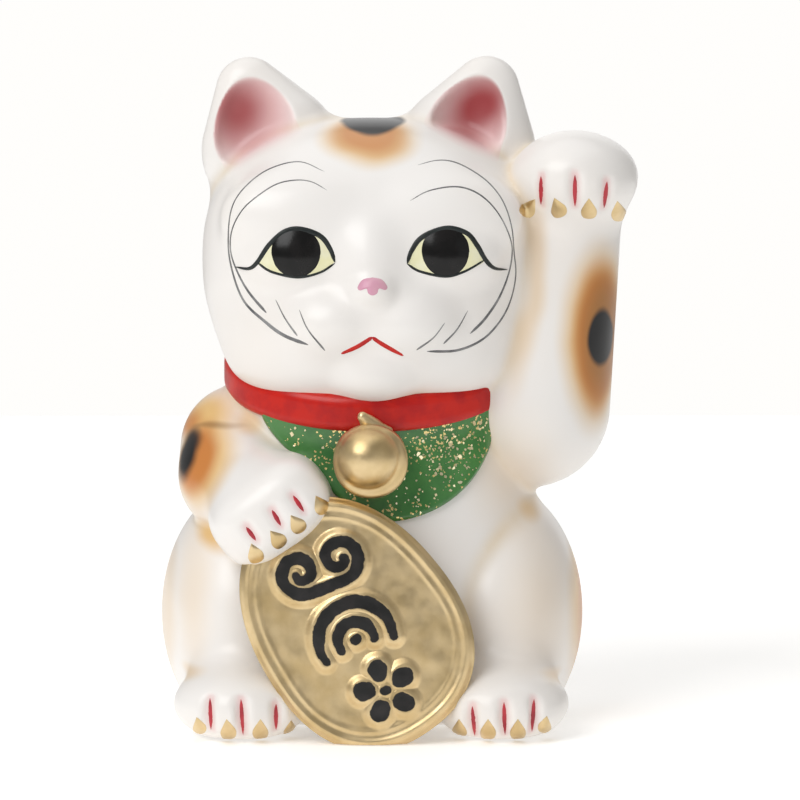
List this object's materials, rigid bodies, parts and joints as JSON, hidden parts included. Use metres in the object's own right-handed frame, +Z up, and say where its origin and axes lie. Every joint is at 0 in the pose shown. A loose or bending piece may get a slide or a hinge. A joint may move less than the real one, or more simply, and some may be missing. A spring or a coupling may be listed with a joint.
{
  "type": "beckoning cat figurine",
  "caption": "Seated ceramic beckoning cat, one paw raised, holding an oval gold coin; a hollow coin bank with a soft stopper underneath.",
  "frame": {"origin": "centre of the object's box on the plane that it stands on", "axes": "+Z up; the cat faces -Y, and its raised paw is on +X"},
  "size_m": [0.1716, 0.143, 0.2404],
  "materials": {
    "white_glaze": "glossy glaze",
    "ear_glaze": "glossy glaze, airbrushed pink",
    "red_enamel": "glossy enamel",
    "green_enamel": "glossy enamel with gold flakes",
    "gold_lustre": "satin gold lustre",
    "soft_rubber": "matte"
  },
  "bodies": {
    "figure": {"torso_shell": "white_glaze", "head_shell": "white_glaze", "left_ear": "ear_glaze", "right_ear": "ear_glaze", "raised_arm": "white_glaze", "lowered_arm": "white_glaze", "left_hind_leg": "white_glaze", "right_hind_leg": "white_glaze", "tail": "white_glaze", "collar_band": "red_enamel", "bib": "green_enamel", "bell_body": "gold_lustre", "bell_loop": "gold_lustre", "koban_plaque": "gold_lustre"},
    "stopper": {"base_stopper": "soft_rubber"}
  },
  "joints": [
    {"name": "stopper_slide", "type": "slide", "parent": "figure", "child": "stopper", "axis": [0, 0, -1], "range_m": [0, 0.025]}
  ]
}
